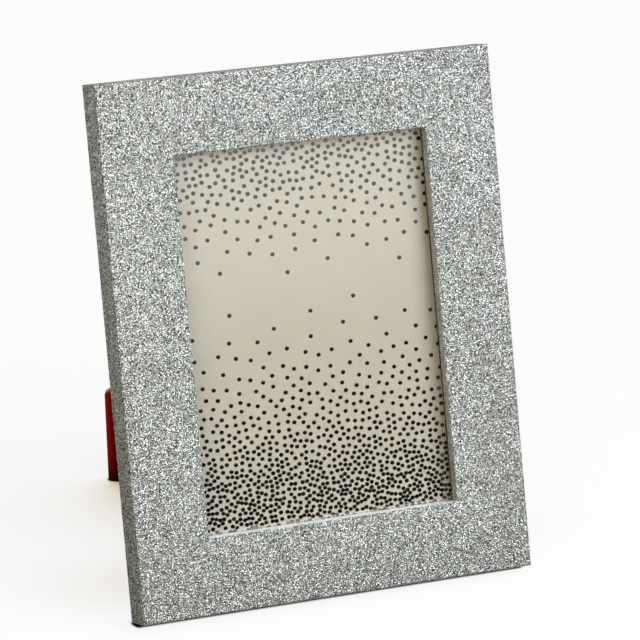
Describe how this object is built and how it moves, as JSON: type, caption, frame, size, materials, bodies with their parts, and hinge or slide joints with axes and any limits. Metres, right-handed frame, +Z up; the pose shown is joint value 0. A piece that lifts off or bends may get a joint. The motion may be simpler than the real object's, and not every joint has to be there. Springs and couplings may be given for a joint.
{
  "type": "picture frame",
  "caption": "Glitter-paper photo frame for a portrait print, with glass, a turn-button back, a slanted folding leg for standing either way up, and saw-tooth wall hangers.",
  "frame": {"origin": "middle of the floor area that the standing frame covers, at table height", "axes": "+Z up, +X to the right as seen from the front, +Y from the front face towards the leg; the face leans back by 18 degrees"},
  "size_m": [0.198, 0.169, 0.2401],
  "materials": {
    "glitter_paper": "silver glitter paper, rough and sparkling",
    "mdf": "raw MDF, matte",
    "glass": "clear float glass with ground edges",
    "card": "satin champagne card with foil dots",
    "greyboard": "plain grey board",
    "red_hardboard": "hardboard with a dark red face and raw cut edges",
    "zinc_plated_steel": "zinc plated",
    "brassed_steel": "brass plated"
  },
  "bodies": {
    "frame": {"glitter_wrap_bottom": "glitter_paper", "glitter_wrap_left": "glitter_paper", "glitter_wrap_right": "glitter_paper", "glitter_wrap_top": "glitter_paper", "rail_bottom": "mdf", "rail_left": "mdf", "rail_right": "mdf", "rail_top": "mdf", "glass_pane": "glass", "printed_card": "card", "filler_board": "greyboard", "backboard": "red_hardboard", "hinge_plate": "zinc_plated_steel", "hinge_pin": "zinc_plated_steel", "board_rivet_left": "brassed_steel", "board_rivet_right": "brassed_steel", "button_screw_bottom": "brassed_steel", "button_screw_left_high": "brassed_steel", "button_screw_left_low": "brassed_steel", "button_screw_right_high": "brassed_steel", "button_screw_right_low": "brassed_steel", "button_screw_top": "brassed_steel", "corner_nail_bottom_left_inner": "zinc_plated_steel", "corner_nail_bottom_left_outer": "zinc_plated_steel", "corner_nail_bottom_right_inner": "zinc_plated_steel", "corner_nail_bottom_right_outer": "zinc_plated_steel", "corner_nail_top_left_inner": "zinc_plated_steel", "corner_nail_top_left_outer": "zinc_plated_steel", "corner_nail_top_right_inner": "zinc_plated_steel", "corner_nail_top_right_outer": "zinc_plated_steel", "hanger_upright": "zinc_plated_steel", "hanger_sideways": "zinc_plated_steel", "hanger_nail_upright_first": "brassed_steel", "hanger_nail_upright_second": "brassed_steel", "hanger_nail_sideways_first": "brassed_steel", "hanger_nail_sideways_second": "brassed_steel"},
    "leg": {"easel_leg": "red_hardboard", "hinge_leaf": "zinc_plated_steel", "leg_rivet_left": "brassed_steel", "leg_rivet_right": "brassed_steel"},
    "button_bottom": {"turn_button_bottom": "zinc_plated_steel"},
    "button_left_high": {"turn_button_left_high": "zinc_plated_steel"},
    "button_left_low": {"turn_button_left_low": "zinc_plated_steel"},
    "button_right_high": {"turn_button_right_high": "zinc_plated_steel"},
    "button_right_low": {"turn_button_right_low": "zinc_plated_steel"},
    "button_top": {"turn_button_top": "zinc_plated_steel"}
  },
  "joints": [
    {"name": "leg_fold", "type": "hinge", "parent": "frame", "child": "leg", "pos_m": [0.0397, -0.02413, 0.13402], "axis": [0.7272, -0.2121, -0.6529], "range_deg": [-48.1, 0]},
    {"name": "button_bottom_turn", "type": "hinge", "parent": "frame", "child": "button_bottom", "pos_m": [0.01331, -0.06191, 0.02359], "axis": [0, 0.9511, -0.309], "continuous": true},
    {"name": "button_left_high_turn", "type": "hinge", "parent": "frame", "child": "button_left_high", "pos_m": [-0.0742, -0.01186, 0.17761], "axis": [0, 0.9511, -0.309], "continuous": true},
    {"name": "button_left_low_turn", "type": "hinge", "parent": "frame", "child": "button_left_low", "pos_m": [-0.0742, -0.0357, 0.10423], "axis": [0, 0.9511, -0.309], "continuous": true},
    {"name": "button_right_high_turn", "type": "hinge", "parent": "frame", "child": "button_right_high", "pos_m": [0.0742, -0.01186, 0.17761], "axis": [0, 0.9511, -0.309], "continuous": true},
    {"name": "button_right_low_turn", "type": "hinge", "parent": "frame", "child": "button_right_low", "pos_m": [0.0742, -0.0508, 0.05778], "axis": [0, 0.9511, -0.309], "continuous": true},
    {"name": "button_top_turn", "type": "hinge", "parent": "frame", "child": "button_top", "pos_m": [-0.0412, -0.00075, 0.2118], "axis": [0, 0.9511, -0.309], "continuous": true}
  ]
}
